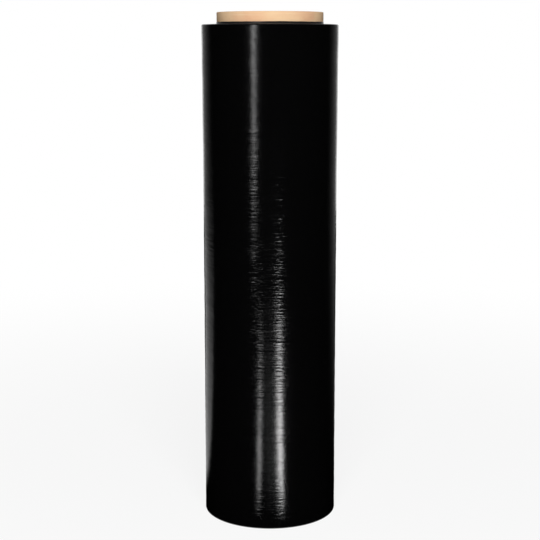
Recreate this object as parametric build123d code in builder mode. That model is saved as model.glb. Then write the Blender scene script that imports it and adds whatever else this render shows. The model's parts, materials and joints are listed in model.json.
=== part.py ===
"""A roll of black stretch film wound on a spiral paper tube, standing on end.

Millimetres. +Z runs up the roll's axis. The origin is the centre of the foot, where the film and
the tube stand flush. The tube stands proud of the film at the top, where a few first turns of film
also ride up the tube as a thin collar.
"""

import os

from build123d import *

# Driving dimensions of the paper tube
TUBE_BORE_DIAMETER = 76.2  # the standard three inch bore that dispensers take
TUBE_WALL = 4.2
TUBE_PROUD_TOP = 9.5  # how far the tube stands out of the film at the top
TUBE_PROUD_FOOT = 0.0  # and at the foot, where it is flush
TUBE_RIM_ROUNDING = 0.6  # outer edge of each sawn end
TUBE_BORE_ROUNDING = 0.3  # inner edge of each sawn end

# Driving dimensions of the wound film
FILM_WIDTH = 400.0  # width of the web, so the height of the winding
FILM_BUILD = 11.6  # radial thickness of all the turns, at the waist
EDGE_SWELL_TOP = 0.6  # extra radius at the top edge, where the web's edge builds up
EDGE_SWELL_FOOT = 0.2  # the same at the foot
WAIST_HEIGHT = 190.0  # height of the winding's narrowest place, above its foot
SHOULDER_ROUNDING = 1.2  # soft outer edge of each end of the winding
COLLAR_THICKNESS = 0.25  # first turns that ride up the tube
COLLAR_HEIGHT = 2.0

# Worked out from the driving dimensions
bore_radius = TUBE_BORE_DIAMETER / 2
tube_radius = bore_radius + TUBE_WALL
waist_radius = tube_radius + FILM_BUILD
top_edge_radius = waist_radius + EDGE_SWELL_TOP
foot_edge_radius = waist_radius + EDGE_SWELL_FOOT
collar_radius = tube_radius + COLLAR_THICKNESS

film_foot = TUBE_PROUD_FOOT
film_waist = film_foot + WAIST_HEIGHT
film_top = film_foot + FILM_WIDTH
collar_top = film_top + COLLAR_HEIGHT
tube_length = TUBE_PROUD_FOOT + FILM_WIDTH + TUBE_PROUD_TOP


def corner_nearest(sketch, radius, height):
    """The corner of a section on the XZ plane that lies at this radius and height."""
    return sketch.vertices().sort_by_distance((radius, 0, height))[0]


# The paper tube: one plain tube, sawn square at both ends, its edges slightly rubbed round
with BuildPart() as cardboard_core:
    with BuildSketch(Plane.XY):
        Circle(tube_radius)
        Circle(bore_radius, mode=Mode.SUBTRACT)
    extrude(amount=tube_length)
    bore_edges = cardboard_core.edges().filter_by(GeomType.CIRCLE).sort_by(SortBy.RADIUS)[:2]
    fillet(bore_edges, radius=TUBE_BORE_ROUNDING)
    outer_edges = cardboard_core.edges().filter_by(GeomType.CIRCLE).sort_by(SortBy.RADIUS)[-2:]
    fillet(outer_edges, radius=TUBE_RIM_ROUNDING)

# The wound film: all the turns together are one solid, turned from one section. Its side is a
# little waisted, its shoulders are soft, and the collar stands on its top end round the tube.
with BuildPart() as film_winding:
    with BuildSketch(Plane.XZ) as winding_section:
        with BuildLine():
            Line((tube_radius, film_foot), (foot_edge_radius, film_foot))
            TangentArc((waist_radius, film_waist), (foot_edge_radius, film_foot), tangent=(0, -1))
            TangentArc((waist_radius, film_waist), (top_edge_radius, film_top), tangent=(0, 1))
            Polyline(
                (top_edge_radius, film_top),
                (collar_radius, film_top),
                (collar_radius, collar_top),
                (tube_radius, collar_top),
                (tube_radius, film_foot),
            )
        make_face()
        fillet(
            [
                corner_nearest(winding_section, foot_edge_radius, film_foot),
                corner_nearest(winding_section, top_edge_radius, film_top),
            ],
            radius=SHOULDER_ROUNDING,
        )
    revolve(axis=Axis.Z)

os.makedirs("parts", exist_ok=True)
for name, piece in (("cardboard_core", cardboard_core), ("film_winding", film_winding)):
    piece.part.label = name
    export_step(piece.part, f"parts/{name}.step")
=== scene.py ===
"""Looks of a stretch wrap roll: glossy black film wound on a spiral paper tube, standing on end.

Metres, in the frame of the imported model: +Z runs up the roll's axis and the foot is at zero.
"""

import json
import math
import random

import bpy
from bpy.props import FloatProperty, FloatVectorProperty, IntProperty, PointerProperty
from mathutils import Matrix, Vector


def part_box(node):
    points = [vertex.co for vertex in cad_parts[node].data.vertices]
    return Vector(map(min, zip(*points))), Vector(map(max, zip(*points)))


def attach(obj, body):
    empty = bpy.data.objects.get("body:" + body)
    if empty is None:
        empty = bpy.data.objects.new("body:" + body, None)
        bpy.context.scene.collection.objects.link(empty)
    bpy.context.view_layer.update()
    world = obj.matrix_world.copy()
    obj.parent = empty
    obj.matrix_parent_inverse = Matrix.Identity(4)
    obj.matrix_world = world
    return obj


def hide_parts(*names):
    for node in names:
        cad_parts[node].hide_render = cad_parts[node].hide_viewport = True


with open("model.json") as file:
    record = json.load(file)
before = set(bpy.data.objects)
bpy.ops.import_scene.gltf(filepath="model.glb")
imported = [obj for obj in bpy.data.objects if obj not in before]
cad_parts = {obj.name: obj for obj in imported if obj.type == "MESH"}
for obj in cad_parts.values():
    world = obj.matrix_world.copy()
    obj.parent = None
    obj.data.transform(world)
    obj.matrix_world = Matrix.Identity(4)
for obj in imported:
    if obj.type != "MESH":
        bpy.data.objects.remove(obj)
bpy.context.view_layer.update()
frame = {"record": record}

bl_info = {
    "name": "Stretch Wrap Roll",
    "version": (1, 0, 0),
    "blender": (4, 5, 0),
    "location": "View3D > Sidebar > Wrap Roll",
    "description": "Builds a roll of black stretch film on a cardboard tube, with its studio",
    "category": "Object",
}

MM = 0.001

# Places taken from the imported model
TUBE_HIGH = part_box("cardboard_core")[1]
FILM_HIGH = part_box("film_winding")[1]
CORE_BORE = next(m for m in frame["record"]["mounts"] if m["name"] == "core_bore")
BORE_RADIUS = CORE_BORE["dims"]["r_mm"] * MM
TUBE_RADIUS = TUBE_HIGH.x
TUBE_TOP = TUBE_HIGH.z
COLLAR_TOP = FILM_HIGH.z
FILM_EDGE_RADIUS = FILM_HIGH.x

# Small sizes of the finish
TUBE_GAP = 0.02 * MM  # keeps the film's faces off the tube's
FILM_THICKNESS = 0.05 * MM  # of the one turn that ends loose
LAP_CLING = 0.03 * MM  # how far that turn sinks into the roll where it begins
FOOT_TURN_STEP = 0.1 * MM  # how far every third turn stands back at the winding's foot
TOP_TURN_DIP = (0.02, 0.20)  # least and most that a turn lies below the winding's top, in mm
COLLAR_FLARE = 0.12 * MM  # where the collar starts on the winding's top
RIPPLE_MARGIN = 0.6 * MM  # band at each end of the side that has no ripples
RIPPLE_FADE = 7 * MM  # width over which they grow to their full depth
PLY_GROOVE = 0.06 * MM  # depth and half width of the grooves between the tube's plies
SEAM_PITCH = 0.17  # climb of the tube's spiral seam in one turn
SEAM_START = 0.08  # where it starts at the foot, in turns
SMOOTH_ANGLE = 50  # edges that turn by more, in degrees, stay sharp

WHITE = (1.0, 1.0, 1.0, 1.0)
BLACK = (0.0, 0.0, 0.0, 1.0)
TURN_EDGE_GREY = (0.017, 0.017, 0.018, 1.0)
PALE_STREAK = (0.90, 0.70, 0.48, 1.0)
DARK_FIBRE = (0.55, 0.33, 0.17, 1.0)
SPECK = (0.36, 0.20, 0.09, 1.0)
# painted shade: the darker brown laid over the inside of the bore
BORE_PAINTED_SHADE = (0.42, 0.29, 0.18, 1.0)
SEAM_SHADE = (0.30, 0.17, 0.08, 1.0)
PLY_SHADE = (0.40, 0.24, 0.12, 1.0)


# ---------------------------------------------------------------------------------------------
# Settings that a user would change
# ---------------------------------------------------------------------------------------------


class FilmSettings(bpy.types.PropertyGroup):
    """Sizes and colour of the wound film."""

    width: FloatProperty(
        name="Film Width", description="Height of the winding", default=0.400, unit="LENGTH"
    )
    waist_radius: FloatProperty(
        name="Waist Radius",
        description="Radius at the narrowest place",
        default=0.0539,
        unit="LENGTH",
    )
    waist_height: FloatProperty(
        name="Waist Height", description="Height of the narrowest place", default=0.190, unit="LENGTH"
    )
    foot_radius: FloatProperty(
        name="Foot Radius", description="Radius at the foot", default=0.0541, unit="LENGTH"
    )
    shoulder: FloatProperty(
        name="Shoulder",
        description="Rounding of the winding's outer edges",
        default=0.0012,
        unit="LENGTH",
    )
    collar: FloatProperty(
        name="Collar",
        description="Thickness of the first turns on the tube",
        default=0.00025,
        unit="LENGTH",
    )
    around: IntProperty(name="Faces Around", description="Faces round the winding", default=128)
    bands: IntProperty(name="Bands", description="Bands up the side before they are divided", default=16)
    band_cuts: IntProperty(name="Cuts a Band", description="Cuts that divide each band", default=43)
    fine_ripple: FloatProperty(
        name="Fine Ripple", description="Depth of the fine ripples", default=0.00013, unit="LENGTH"
    )
    broad_ripple: FloatProperty(
        name="Broad Ripple", description="Depth of the broad ripples", default=0.00022, unit="LENGTH"
    )
    lap_start: FloatProperty(
        name="Lap Start",
        description="Where the last lap shows first, in degrees from the front",
        default=262.0,
    )
    lap_reach: FloatProperty(
        name="Lap Reach",
        description="From there round to the loose edge, in degrees",
        default=48.0,
    )
    color: FloatVectorProperty(
        name="Film Colour",
        description="Colour of the film",
        default=(0.0014, 0.0014, 0.0015),
        subtype="COLOR",
    )


class TubeSettings(bpy.types.PropertyGroup):
    """Sizes and colours of the cardboard tube."""

    rim: FloatProperty(
        name="Rim",
        description="Rounding of the outer edge of each end",
        default=0.0006,
        unit="LENGTH",
    )
    bore_rim: FloatProperty(
        name="Bore Rim",
        description="Rounding of the inner edge of each end",
        default=0.0003,
        unit="LENGTH",
    )
    plies: IntProperty(name="Plies", description="Layers of board in the wall", default=8)
    around: IntProperty(name="Faces Around", description="Faces round the tube", default=192)
    color: FloatVectorProperty(
        name="Board Colour",
        description="Colour of the board",
        default=(0.80, 0.55, 0.33),
        subtype="COLOR",
    )
    blush: FloatVectorProperty(
        name="Blush Colour",
        description="Warmer patches in the board",
        default=(0.74, 0.42, 0.25),
        subtype="COLOR",
    )


class StageSettings(bpy.types.PropertyGroup):
    """The camera and the light."""

    camera_distance: FloatProperty(
        name="Camera Distance", description="From the roll's axis", default=1.030, unit="LENGTH"
    )
    eye_height: FloatProperty(
        name="Eye Height", description="Height of the camera", default=0.385, unit="LENGTH"
    )
    aim_height: FloatProperty(
        name="Aim Height", description="Height that the camera looks at", default=0.2024, unit="LENGTH"
    )
    lens: FloatProperty(name="Lens", description="Focal length in millimetres", default=85.1, min=1.0)
    key_light: FloatProperty(
        name="Key Light", description="Power of the big soft lamp in front", default=29.0, min=0.0
    )
    fill: FloatProperty(name="Fill", description="Plain light from all round", default=0.10, min=0.0)


# ---------------------------------------------------------------------------------------------
# Small helpers
# ---------------------------------------------------------------------------------------------


def deselect_everything():
    """Leaves no object selected, so that an operator acts on the new piece alone."""
    for thing in bpy.context.selected_objects:
        thing.select_set(False)


def name_new(name):
    """Names the object just added, and its mesh."""
    piece = bpy.context.object
    piece.name = name
    piece.data.name = name
    return piece


def lathe(name, section, around):
    """A turned piece round the roll's axis.

    section is a closed outline of (radius, height): out at the foot, up the outside, and back down.
    """
    first_radius, first_height = section[0]
    deselect_everything()
    bpy.ops.mesh.primitive_circle_add(
        vertices=around, radius=first_radius, location=(0, 0, first_height)
    )
    piece = name_new(name)
    bpy.ops.object.transform_apply(location=True)
    bpy.ops.object.mode_set(mode="EDIT")
    bpy.ops.mesh.select_mode(type="EDGE")
    bpy.ops.mesh.select_all(action="SELECT")
    for (radius, height), (next_radius, next_height) in zip(section, section[1:] + section[:1]):
        bpy.ops.mesh.extrude_region_move(
            TRANSFORM_OT_translate={"value": (0, 0, next_height - height)}
        )
        spread = next_radius / radius
        bpy.ops.transform.resize(value=(spread, spread, 1), center_override=(0, 0, next_height))
    bpy.ops.mesh.select_all(action="SELECT")
    bpy.ops.mesh.remove_doubles(threshold=0.00001)
    bpy.ops.mesh.normals_make_consistent(inside=False)
    bpy.ops.object.mode_set(mode="OBJECT")
    return piece


def select_edges(piece, wanted):
    """Selects, in object mode, the edges whose two ends please wanted(first, second)."""
    mesh = piece.data
    for part in (mesh.vertices, mesh.edges, mesh.polygons):
        part.foreach_set("select", [False] * len(part))
    for edge in mesh.edges:
        first, second = (mesh.vertices[i].co for i in edge.vertices)
        edge.select = wanted(first, second)


def radius_of(point):
    """Distance of a point from the roll's axis."""
    return math.hypot(point.x, point.y)


def even_steps(count):
    """Even steps from 0 to 1, both ends in."""
    return [step / count for step in range(count + 1)]


def quarter_turn(steps):
    """Angles from 0 to a right angle, both in."""
    return [math.pi / 2 * step / steps for step in range(steps + 1)]


def weigh(piece, name, weight):
    """A vertex group whose weights are weight(point)."""
    group = piece.vertex_groups.new(name=name)
    for vertex in piece.data.vertices:
        amount = weight(vertex.co)
        if amount > 0:
            group.add([vertex.index], amount, "REPLACE")
    return group.name


def displace(piece, group, cell, depth, way="NORMAL", tilt=(0, 0), mid=0.5):
    """Presses a cloudy pattern into a piece for good.

    cell is the size of the pattern's features along x, y and z, before it is tilted. The pattern's
    level of mid leaves the surface where it is.
    """
    texture = bpy.data.textures.new("pressed_pattern", "CLOUDS")
    texture.noise_scale = 1.0
    texture.noise_depth = 1
    deselect_everything()
    bpy.ops.object.empty_add(location=(0, 0, 0), rotation=(tilt[0], tilt[1], 0))
    cage = bpy.context.object
    cage.scale = cell
    bpy.context.view_layer.update()
    press = piece.modifiers.new("press", "DISPLACE")
    press.texture = texture
    press.texture_coords = "OBJECT"
    press.texture_coords_object = cage
    press.vertex_group = group
    press.direction = way
    press.mid_level = mid
    press.strength = depth
    deselect_everything()
    bpy.context.view_layer.objects.active = piece
    piece.select_set(True)
    bpy.ops.object.modifier_apply(modifier=press.name)
    bpy.data.objects.remove(cage)
    bpy.data.textures.remove(texture)


def direction(azimuth):
    """The level direction at an azimuth in degrees: 0 is the front, and positive is to the right."""
    return Vector((math.sin(math.radians(azimuth)), -math.cos(math.radians(azimuth)), 0))


def shade_smooth(piece):
    """Smooth shading that keeps the sharp edges."""
    deselect_everything()
    bpy.context.view_layer.objects.active = piece
    piece.select_set(True)
    bpy.ops.object.shade_smooth_by_angle(angle=math.radians(SMOOTH_ANGLE))


# ---------------------------------------------------------------------------------------------
# Materials
# ---------------------------------------------------------------------------------------------


class Value:
    """A socket that adds Math nodes when it is used in an expression."""

    def __init__(self, shop, socket):
        self.shop = shop
        self.socket = socket

    def _math(self, operation, *others):
        return self.shop.node("ShaderNodeMath", {"operation": operation}, *others)[0]

    def __add__(self, other):
        return self._math("ADD", self, other)

    __radd__ = __add__

    def __sub__(self, other):
        return self._math("SUBTRACT", self, other)

    def __rsub__(self, other):
        return self._math("SUBTRACT", other, self)

    def __mul__(self, other):
        return self._math("MULTIPLY", self, other)

    __rmul__ = __mul__

    def __truediv__(self, other):
        return self._math("DIVIDE", self, other)

    def __pow__(self, other):
        return self._math("POWER", self, other)

    def fraction(self):
        """What is left over the whole number below."""
        return self._math("FRACT", self)

    def distance_to(self, other):
        """How far this is from another value, never below 0."""
        return self._math("ABSOLUTE", self - other)

    def clamped(self):
        """Held between 0 and 1."""
        return self.shop.node("ShaderNodeClamp", {}, self, 0.0, 1.0)[0]

    def ramp(self, low, high):
        """0 below low, 1 above high and a soft rise between."""
        return self.shop.node(
            "ShaderNodeMapRange", {"interpolation_type": "SMOOTHSTEP"}, self, low, high, 0.0, 1.0
        )[0]


class Shop:
    """Makes the nodes of one material or world."""

    def __init__(self, owner):
        owner.use_nodes = True
        self.tree = owner.node_tree
        self.tree.nodes.clear()

    def node(self, kind, settings, *values, **named):
        """One node: its settings first, then its sockets in order or by name, as values or links."""
        made = self.tree.nodes.new(kind)
        for key, setting in settings.items():
            setattr(made, key, setting)
        inputs = [socket for socket in made.inputs if socket.enabled]
        pairs = list(zip(inputs, values))
        pairs += [(made.inputs[key.replace("_", " ")], value) for key, value in named.items()]
        for socket, value in pairs:
            if isinstance(value, Value):
                self.tree.links.new(value.socket, socket)
            elif value is not None:
                socket.default_value = value
        return [Value(self, socket) for socket in made.outputs if socket.enabled]

    def place(self):
        """Object coordinates, as a vector."""
        return self.node("ShaderNodeTexCoord", {})[3]

    def parts(self, vector):
        """The x, y and z of a vector."""
        return self.node("ShaderNodeSeparateXYZ", {}, vector)

    def stretched(self, vector, scale, rotation=(0, 0, 0)):
        """A vector scaled for a pattern, after a turn."""
        return self.node("ShaderNodeMapping", {}, vector, (0, 0, 0), rotation, scale)[0]

    def noise(self, vector, scale, detail=2.0, rough=0.5):
        """Noise from 0 to 1."""
        return self.node("ShaderNodeTexNoise", {}, vector, scale, detail, rough)[0]

    def tint(self, amount, first, second):
        """A colour between two others."""
        return self.node("ShaderNodeMix", {"data_type": "RGBA"}, amount, first, second)[0]

    def bump(self, height, strength, distance, under=None):
        """A normal from a height, over another normal if there is one."""
        return self.node(
            "ShaderNodeBump", {}, Strength=strength, Distance=distance, Height=height, Normal=under
        )[0]

    def seen(self):
        """1 for what the eye, the gloss and clear things see, and 0 for the light that falls."""
        rays = {ray.socket.name: ray for ray in self.node("ShaderNodeLightPath", {})}
        return (rays["Is Camera Ray"] + rays["Is Glossy Ray"] + rays["Is Transmission Ray"]).clamped()

    def finish(self, surface, kind="ShaderNodeOutputMaterial"):
        """Wires a shader to the output."""
        self.node(kind, {}, Surface=surface)


def rgba(color):
    """A colour setting with its alpha."""
    return (*color[:3], 1.0)


def film_material(settings):
    """Glossy black film: fine lines round the roll, and the edges of its turns on the ends."""
    material = bpy.data.materials.new("black_stretch_film")
    shop = Shop(material)
    place = shop.place()
    x, y, z = shop.parts(place)
    radius = (x * x + y * y) ** 0.5
    half = settings.width / 2
    on_end = z.distance_to(half).ramp(half - 0.9 * MM, half - 0.3 * MM)
    rings = shop.node("ShaderNodeCombineXYZ", {}, radius, 0.0, 0.0)[0]
    turns = shop.noise(rings, 5200.0, 2.0)
    lines = shop.noise(shop.stretched(place, (24, 24, 800), (0.05, 0.02, 0)), 1.0, 3.0)
    crinkle = shop.noise(shop.stretched(place, (150, 150, 1100), (-0.09, 0.05, 0)), 1.0, 2.0)
    haze = shop.noise(shop.stretched(place, (14, 14, 40)), 1.0, 3.0)
    wrinkled = shop.bump(lines * 0.5 + crinkle * 0.5, 1.0, 0.28 * MM)
    normal = shop.bump(turns * on_end, 0.8, 0.15 * MM, wrinkled)
    roughness = 0.10 + 0.08 * haze + 0.16 * on_end
    color = shop.tint(on_end * (0.4 + 0.6 * turns), rgba(settings.color), TURN_EDGE_GREY)
    surface = shop.node(
        "ShaderNodeBsdfPrincipled", {}, Base_Color=color, Roughness=roughness, Normal=normal, IOR=1.5
    )[0]
    shop.finish(surface)
    return material


def board_material(settings):
    """Brown paper board: fibres, warmer patches, a spiral seam, plies on the sawn ends, and painted
    shade inside the bore.
    """
    material = bpy.data.materials.new("spiral_wound_board")
    shop = Shop(material)
    place = shop.place()
    x, y, z = shop.parts(place)
    radius = (x * x + y * y) ** 0.5
    turn = shop.node("ShaderNodeMath", {"operation": "ARCTAN2"}, y, x)[0] / (2 * math.pi)
    in_bore = 1 - radius.ramp(BORE_RADIUS + 0.1 * MM, BORE_RADIUS + 0.5 * MM)
    on_end = z.ramp(TUBE_TOP - 0.25 * MM, TUBE_TOP - 0.1 * MM) + (1 - z.ramp(0.1 * MM, 0.25 * MM))
    wall = ((radius - BORE_RADIUS) / (TUBE_RADIUS - BORE_RADIUS)).clamped()

    fibres = shop.noise(shop.stretched(place, (160, 160, 700), (0.35, 0.1, 0)), 1.0, 4.0, 0.6)
    specks = shop.noise(shop.stretched(place, (900, 900, 900)), 1.0, 2.0)
    patches = shop.noise(shop.stretched(place, (38, 38, 60), (0.5, 0.2, 0)), 1.0, 2.0)
    streaks = shop.noise(shop.stretched(place, (16, 16, 420), (0.22, 0.06, 0)), 1.0, 3.0)

    seam_way = (turn + z / SEAM_PITCH + SEAM_START).fraction()
    seam = 1 - seam_way.distance_to(0.5).ramp(0.0015, 0.0045)
    plies = (wall * settings.plies).fraction()
    ply_line = 1 - plies.distance_to(0.5).ramp(0.10, 0.26)

    board = shop.tint(patches.ramp(0.42, 0.68) * 0.75, rgba(settings.color), rgba(settings.blush))
    board = shop.tint(streaks.ramp(0.48, 0.8) * 0.35, board, PALE_STREAK)
    board = shop.tint(fibres.ramp(0.55, 0.85) * 0.30, board, DARK_FIBRE)
    board = shop.tint(specks.ramp(0.66, 0.78) * 0.35, board, SPECK)
    # painted shade: the bore's inner wall is darkened toward a darker brown, in place of the shade that
    # falls in it
    board = shop.tint(in_bore * 0.55, board, BORE_PAINTED_SHADE)
    board = shop.tint(seam * 0.55, board, SEAM_SHADE)
    board = shop.tint(on_end * (0.25 + 0.45 * ply_line), board, PLY_SHADE)

    height = fibres * 0.5 + streaks * 0.3 + specks * 0.2 - seam * 1.2 - on_end * ply_line * 0.6
    normal = shop.bump(height, 0.7, 0.22 * MM)
    roughness = 0.72 + 0.2 * fibres
    surface = shop.node(
        "ShaderNodeBsdfPrincipled", {}, Base_Color=board, Roughness=roughness, Normal=normal, IOR=1.4
    )[0]
    shop.finish(surface)
    return material


def matt_black(name):
    """Matt black for the studio's screen."""
    material = bpy.data.materials.new(name)
    shop = Shop(material)
    shop.finish(shop.node("ShaderNodeBsdfDiffuse", {}, BLACK, 0.9)[0])
    return material


# ---------------------------------------------------------------------------------------------
# Pieces
# ---------------------------------------------------------------------------------------------


def film_section(settings, rng):
    """The winding's section: from the tube out over the foot, up the side, in and down the tube."""
    inner = TUBE_RADIUS + TUBE_GAP
    top = settings.width
    shoulder = settings.shoulder
    foot_radius = settings.foot_radius
    edge_radius = FILM_EDGE_RADIUS
    section = [(inner, 0.0)]
    turns_out = 10
    for step in range(1, turns_out):
        radius = inner + (foot_radius - shoulder - inner) * step / turns_out
        section.append((radius, 0.0 if step % 3 else FOOT_TURN_STEP))
    for angle in quarter_turn(4):
        radius = foot_radius - shoulder + shoulder * math.sin(angle)
        section.append((radius, shoulder - shoulder * math.cos(angle)))
    rise = top - 2 * shoulder
    for share in even_steps(settings.bands)[1:-1]:
        height = shoulder + rise * share
        end_radius = edge_radius if height > settings.waist_height else foot_radius
        reach = top - settings.waist_height if height > settings.waist_height else settings.waist_height
        from_waist = abs(height - settings.waist_height) / reach
        swell = (end_radius - settings.waist_radius) * from_waist ** 2
        section.append((settings.waist_radius + swell, height))
    for angle in quarter_turn(4):
        radius = edge_radius - shoulder + shoulder * math.cos(angle)
        section.append((radius, top - shoulder + shoulder * math.sin(angle)))
    collar_radius = TUBE_RADIUS + settings.collar
    turns_in = 14
    for step in range(1, turns_in):
        radius = edge_radius - shoulder - (edge_radius - shoulder - collar_radius) * step / turns_in
        section.append((radius, top - rng.uniform(*TOP_TURN_DIP) * MM))
    section += [
        (collar_radius + COLLAR_FLARE, top),
        (collar_radius, top + 0.25 * MM),
        (collar_radius, COLLAR_TOP - 0.7 * MM),
        (collar_radius, COLLAR_TOP - 0.1 * MM),
        (inner, COLLAR_TOP),
        (inner, top - 1 * MM),
    ]
    return section


class WRAPROLL_OT_film_winding(bpy.types.Operator):
    """Builds the wound film, with its ripples, its end faces and its collar on the tube"""

    bl_idname = "wraproll.film_winding"
    bl_label = "Film Winding"

    def execute(self, context):
        settings = context.scene.wrap_film
        rng = random.Random(7)
        film = lathe("film_turns", film_section(settings, rng), settings.around)

        low = settings.shoulder * 0.9
        high = settings.width - settings.shoulder * 0.9
        side = settings.waist_radius - settings.shoulder

        def up_the_side(first, second):
            """Picks the long edges up the side, and not the short ones of the shoulders."""
            lower, upper = sorted((first.z, second.z))
            return upper - lower > 10 * MM and radius_of(first) > side and lower > low and upper < high

        select_edges(film, up_the_side)
        bpy.context.view_layer.objects.active = film
        bpy.ops.object.mode_set(mode="EDIT")
        bpy.ops.mesh.subdivide_edgering(
            number_cuts=settings.band_cuts, interpolation="LINEAR", smoothness=0
        )
        bpy.ops.object.mode_set(mode="OBJECT")

        def on_side(point):
            if radius_of(point) < side:
                return 0.0
            from_end = min(point.z, settings.width - point.z)
            return min(1.0, max(0.0, (from_end - RIPPLE_MARGIN) / RIPPLE_FADE))

        def on_top(point):
            return 1.0 if settings.width - 1 * MM < point.z < settings.width + 0.2 * MM else 0.0

        def on_collar(point):
            return 1.0 if point.z > COLLAR_TOP - 0.3 * MM else 0.0

        side_group = weigh(film, "side", on_side)
        top_group = weigh(film, "top_face", on_top)
        collar_group = weigh(film, "collar_edge", on_collar)
        # Broad swells and two sets of fine ripples that cross, then the uneven top and collar
        broad = settings.broad_ripple
        fine = settings.fine_ripple
        displace(film, side_group, (0.045, 0.045, 0.011), broad, tilt=(0.10, 0.05), mid=0.75)
        displace(film, side_group, (0.022, 0.022, 0.0010), fine, tilt=(-0.05, 0.03))
        displace(film, side_group, (0.008, 0.008, 0.0012), fine * 0.6, tilt=(0.14, -0.10))
        displace(film, top_group, (0.016, 0.016, 0.016), 0.12 * MM, way="Z", mid=0.8)
        displace(film, collar_group, (0.007, 0.007, 0.007), 0.5 * MM, way="Z", mid=0.8)
        for group in list(film.vertex_groups):
            film.vertex_groups.remove(group)
        shade_smooth(film)
        film.data.materials.append(film_material(settings))
        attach(film, "root")
        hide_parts("film_winding")
        return {"FINISHED"}


class WRAPROLL_OT_loose_end(bpy.types.Operator):
    """Lays the film's loose end on the back of the roll, where it clings and lifts a little"""

    bl_idname = "wraproll.loose_end"
    bl_label = "Loose End"

    def execute(self, context):
        settings = context.scene.wrap_film
        film = bpy.data.objects["film_turns"]
        deselect_everything()
        film.select_set(True)
        context.view_layer.objects.active = film
        bpy.ops.object.duplicate()
        tail = name_new("film_loose_end")
        rest = settings.waist_radius - settings.shoulder

        def share(point):
            """0 where the lap begins and 1 at its free edge."""
            azimuth = math.degrees(math.atan2(point.x, -point.y)) % 360
            return (settings.lap_start - azimuth) / settings.lap_reach

        bpy.ops.object.mode_set(mode="EDIT")
        bpy.ops.mesh.select_mode(type="FACE")
        bpy.ops.mesh.select_all(action="DESELECT")
        bpy.ops.object.mode_set(mode="OBJECT")
        edge_gap = settings.shoulder * 1.1
        for face in tail.data.polygons:
            middle = face.center
            on_side = radius_of(middle) > rest and edge_gap < middle.z < settings.width - edge_gap
            face.select = not (on_side and 0 <= share(middle) <= 1)
        bpy.ops.object.mode_set(mode="EDIT")
        bpy.ops.mesh.delete(type="FACE")
        bpy.ops.object.mode_set(mode="OBJECT")

        for vertex in tail.data.vertices:
            point = vertex.co
            along = min(1.0, max(0.0, share(point)))
            puff = 0.5 + 0.5 * math.sin(point.z * 95) * math.sin(point.z * 37 + 1.0)
            lift = -LAP_CLING + along ** 3 * (0.16 + 0.30 * puff) * MM
            wave = math.sin(point.z * 61 + 2 * math.sin(point.z * 23))
            drift = math.radians(1.1) * along ** 6 * wave
            radius = radius_of(point) + lift
            angle = math.atan2(point.y, point.x) + drift
            vertex.co = (radius * math.cos(angle), radius * math.sin(angle), point.z)
        thick = tail.modifiers.new("thickness", "SOLIDIFY")
        thick.thickness = FILM_THICKNESS
        thick.offset = 1.0
        bpy.ops.object.modifier_apply(modifier=thick.name)
        shade_smooth(tail)
        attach(tail, "root")
        return {"FINISHED"}


def tube_section(settings):
    """The tube's section, from the foot at the bore, out, up and back down the bore."""
    rim = settings.rim
    bore_rim = settings.bore_rim
    wall = TUBE_RADIUS - BORE_RADIUS

    def sawn_end(height, sign):
        """The end face from the outer rim to the bore rim; sign is 1 at the top and -1 at the foot."""
        points = []
        for angle in quarter_turn(4):
            radius = TUBE_RADIUS - rim + rim * math.cos(angle)
            points.append((radius, height - sign * rim * (1 - math.sin(angle))))
        flat = wall - rim - bore_rim
        for ply in range(1, settings.plies):
            radius = TUBE_RADIUS - rim - flat * ply / settings.plies
            points.append((radius + PLY_GROOVE, height))
            points.append((radius, height - sign * PLY_GROOVE))
            points.append((radius - PLY_GROOVE, height))
        for angle in quarter_turn(3):
            radius = BORE_RADIUS + bore_rim - bore_rim * math.sin(angle)
            points.append((radius, height - sign * bore_rim * (1 - math.cos(angle))))
        return points

    side_steps = [TUBE_TOP * share for share in even_steps(24)[1:-1]]
    section = sawn_end(0.0, -1)[::-1]
    section += [(TUBE_RADIUS, height) for height in side_steps]
    section += sawn_end(TUBE_TOP, 1)
    section += [(BORE_RADIUS, height) for height in reversed(side_steps)]
    return section


class WRAPROLL_OT_cardboard_tube(bpy.types.Operator):
    """Builds the spiral-wound cardboard tube, with the plies of its sawn ends"""

    bl_idname = "wraproll.cardboard_tube"
    bl_label = "Cardboard Tube"

    def execute(self, context):
        settings = context.scene.wrap_tube
        tube = lathe("board_tube", tube_section(settings), settings.around)
        shade_smooth(tube)
        tube.data.materials.append(board_material(settings))
        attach(tube, "root")
        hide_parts("cardboard_core")
        return {"FINISHED"}


# ---------------------------------------------------------------------------------------------
# Studio
# ---------------------------------------------------------------------------------------------


def seen_by_gloss_only(thing):
    """Hides a thing of the studio from all but the reflections."""
    thing.visible_camera = False
    thing.visible_diffuse = False
    thing.visible_transmission = False
    thing.visible_shadow = False
    thing.visible_volume_scatter = False


def glow_material(name, strength, soft_low, soft_high, towards=0):
    """A glow that fades over soft_low at a card's near or low end, and soft_high at the other.

    towards is 0 for a card that fades at both sides, and 1 or -1 for one that grows to one side.
    """
    material = bpy.data.materials.new(name)
    shop = Shop(material)
    across, along, _ = shop.parts(shop.node("ShaderNodeTexCoord", {})[2])
    near = along.ramp(0.0, soft_low)
    far = 1 - along.ramp(1 - soft_high, 1.0)
    if towards:
        sides = (across if towards > 0 else 1 - across) ** 1.6
    else:
        sides = 1 - across.distance_to(0.5).ramp(0.3, 0.5)
    glow = near * far * sides * strength
    color = shop.node("ShaderNodeCombineColor", {}, glow, glow, glow)[0]
    shop.finish(shop.node("ShaderNodeEmission", {}, color, 1.0)[0])
    return material


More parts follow.
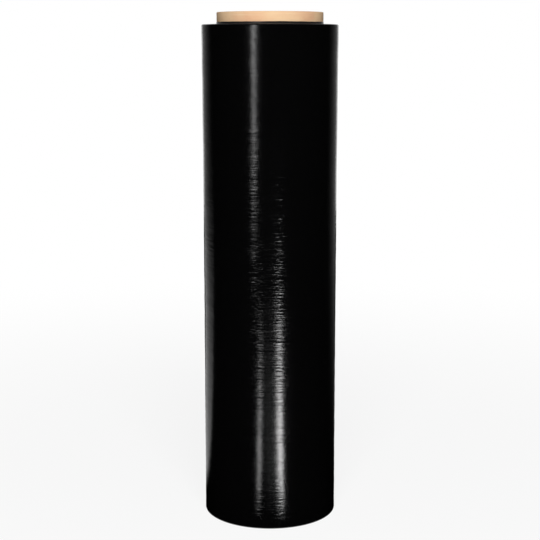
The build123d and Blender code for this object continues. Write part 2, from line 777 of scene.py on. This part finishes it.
def light_card(name, corner, strength, soft, towards):
    """A light card for the reflections. corner(side, is_far) places each of its corners."""
    deselect_everything()
    bpy.ops.mesh.primitive_plane_add(size=1, location=(0, 0, 0))
    card = name_new(name)
    for vertex in card.data.vertices:
        vertex.co = corner(1 if vertex.co.x > 0 else -1, vertex.co.y > 0)
    card.data.materials.append(glow_material(name, strength, *soft, towards))
    seen_by_gloss_only(card)


def floor_card(name, azimuth, near, far, spread, strength, soft=(0.2, 0.3), towards=0):
    """A long card just over the floor that points at the roll and widens with distance."""
    half = math.tan(math.radians(spread / 2))
    above_floor = Vector((0, 0, 2 * MM))

    def corner(side, is_far):
        reach = far if is_far else near
        return direction(azimuth) * reach + direction(azimuth + 90) * side * reach * half + above_floor

    light_card(name, corner, strength, soft, towards)


def standing_card(name, azimuth, distance, low, high, spread, strength, soft=(0.3, 0.2), towards=0):
    """A tall card that stands at a distance from the roll."""
    half = distance * math.tan(math.radians(spread / 2))

    def corner(side, is_high):
        foot = direction(azimuth) * distance + direction(azimuth + 90) * side * half
        return foot + Vector((0, 0, high if is_high else low))

    light_card(name, corner, strength, soft, towards)


def dark_screen(name, radius, height, opening):
    """A black drum round the roll, with a floor and a lid, and open at the back by some degrees."""
    deselect_everything()
    middle_height = height / 2 + 1 * MM
    bpy.ops.mesh.primitive_cylinder_add(
        vertices=120,
        radius=radius,
        depth=height,
        location=(0, 0, middle_height),
        end_fill_type="TRIFAN",
    )
    screen = name_new(name)
    bpy.ops.object.transform_apply(location=True)
    bpy.ops.object.mode_set(mode="EDIT")
    bpy.ops.mesh.select_mode(type="FACE")
    bpy.ops.mesh.select_all(action="DESELECT")
    bpy.ops.object.mode_set(mode="OBJECT")
    behind = direction(180)
    for face in screen.data.polygons:
        middle = face.center.copy()
        is_wall = 0.1 * height < middle.z < 0.9 * height
        middle.z = 0
        face.select = is_wall and middle.angle(behind) < math.radians(opening / 2)
    bpy.ops.object.mode_set(mode="EDIT")
    bpy.ops.mesh.delete(type="FACE")
    bpy.ops.object.mode_set(mode="OBJECT")
    screen.data.materials.append(matt_black(name))
    seen_by_gloss_only(screen)


def soft_lamp(name, azimuth, elevation, distance, size, power, aim_height):
    """A square soft lamp that points at the roll's axis, and that the gloss doesn't show."""
    data = bpy.data.lights.new(name, "AREA")
    data.shape = "SQUARE"
    data.size = size
    data.energy = power
    lamp = bpy.data.objects.new(name, data)
    bpy.context.scene.collection.objects.link(lamp)
    aim = Vector((0, 0, aim_height))
    rise = math.radians(elevation)
    out = direction(azimuth) * distance * math.cos(rise)
    lamp.location = aim + out + Vector((0, 0, distance * math.sin(rise)))
    lamp.rotation_euler = (aim - lamp.location).to_track_quat("-Z", "Y").to_euler()
    lamp.visible_camera = False
    lamp.visible_glossy = False


def white_world(settings):
    """White to look at, and a plain level of light to fill the shadows."""
    world = bpy.data.worlds.new("white_room")
    bpy.context.scene.world = world
    shop = Shop(world)
    strength = settings.fill + (1 - settings.fill) * shop.seen()
    surface = shop.node("ShaderNodeBackground", {}, WHITE, strength)[0]
    shop.finish(surface, "ShaderNodeOutputWorld")


def floor_material():
    """Pale floor that runs out white, and keeps the roll's soft shadow."""
    material = bpy.data.materials.new("pale_floor")
    shop = Shop(material)
    x, y, _ = shop.parts(shop.place())
    away = ((x * x + y * y) ** 0.5).ramp(0.05, 1.1)
    matt = shop.node("ShaderNodeBsdfDiffuse", {}, (0.66, 0.66, 0.66, 1), 0.5)[0]
    white = shop.node("ShaderNodeEmission", {}, WHITE, 1.0)[0]
    share = shop.seen() * (0.85 + 0.15 * away)
    shop.finish(shop.node("ShaderNodeMixShader", {}, share, matt, white)[0])
    return material


class WRAPROLL_OT_studio(bpy.types.Operator):
    """Sets up the floor, the white room, the screen, the cards, the lamp and the camera"""

    bl_idname = "wraproll.studio"
    bl_label = "Studio"

    def execute(self, context):
        settings = context.scene.wrap_stage
        deselect_everything()
        bpy.ops.mesh.primitive_circle_add(
            vertices=96, radius=12, fill_type="NGON", location=(0, 0, 0)
        )
        floor = name_new("studio_floor")
        floor.data.materials.append(floor_material())
        white_world(settings)

        # The screen keeps the gloss black, and the cards put the bright streaks in it
        dark_screen("dark_screen", radius=1.9, height=1.6, opening=56)
        standing_card(
            "tall_strip_left", azimuth=-26.2, distance=1.0, low=0.15, high=0.75, spread=6.5, strength=7.0
        )
        floor_card("floor_strip_left", azimuth=-16.8, near=0.092, far=0.54, spread=6.5, strength=6.5)
        floor_card("floor_strip_right", azimuth=13.6, near=0.080, far=0.64, spread=12.0, strength=18.5)
        floor_card("floor_glow", azimuth=2.0, near=0.10, far=0.60, spread=26.0, strength=0.40)

        # Panels behind each side, from the floor up, light the two edges of the roll
        for side, panel_glow, floor_glow in ((-1, 0.42, 0.62), (1, 0.34, 0.30)):
            azimuth = 134 * side
            standing_card(
                "side_panel", azimuth, distance=1.7, low=0.0, high=1.2, spread=42,
                strength=panel_glow, soft=(0.02, 0.2), towards=side,
            )
            floor_card(
                "side_floor", azimuth, near=0.056, far=1.68, spread=42,
                strength=floor_glow, soft=(0.01, 0.01), towards=side,
            )

        soft_lamp(
            "key_softbox", azimuth=2, elevation=32, distance=1.6, size=0.9,
            power=settings.key_light, aim_height=0.3,
        )

        camera_data = bpy.data.cameras.new("studio_camera")
        camera_data.lens = settings.lens
        camera = bpy.data.objects.new("studio_camera", camera_data)
        context.scene.collection.objects.link(camera)
        camera.location = (0, -settings.camera_distance, settings.eye_height)
        aim = Vector((0, 0, settings.aim_height))
        camera.rotation_euler = (aim - camera.location).to_track_quat("-Z", "Y").to_euler()
        context.scene.camera = camera
        context.scene.view_settings.view_transform = "Standard"
        return {"FINISHED"}


class WRAPROLL_PT_panel(bpy.types.Panel):
    """Lists the roll's pieces and its studio in the sidebar"""

    bl_idname = "WRAPROLL_PT_panel"
    bl_label = "Stretch Wrap Roll"
    bl_space_type = "VIEW_3D"
    bl_region_type = "UI"
    bl_category = "Wrap Roll"

    def draw(self, context):
        for name, operators in STEPS.items():
            box = self.layout.box()
            for operator in operators:
                box.operator(operator.bl_idname)
            for key in GROUPS[name].__annotations__:
                box.prop(getattr(context.scene, name), key)


GROUPS = {"wrap_film": FilmSettings, "wrap_tube": TubeSettings, "wrap_stage": StageSettings}
STEPS = {
    "wrap_film": (WRAPROLL_OT_film_winding, WRAPROLL_OT_loose_end),
    "wrap_tube": (WRAPROLL_OT_cardboard_tube,),
    "wrap_stage": (WRAPROLL_OT_studio,),
}
OPERATORS = [operator for operators in STEPS.values() for operator in operators]
CLASSES = (*GROUPS.values(), *OPERATORS, WRAPROLL_PT_panel)


def register():
    for made in CLASSES:
        bpy.utils.register_class(made)
    for name, group in GROUPS.items():
        setattr(bpy.types.Scene, name, PointerProperty(type=group))


def unregister():
    for name in GROUPS:
        delattr(bpy.types.Scene, name)
    for made in reversed(CLASSES):
        bpy.utils.unregister_class(made)


def main():
    register()
    bpy.ops.wraproll.film_winding()
    bpy.ops.wraproll.loose_end()
    bpy.ops.wraproll.cardboard_tube()
    bpy.ops.wraproll.studio()


if __name__ == "__main__":
    main()
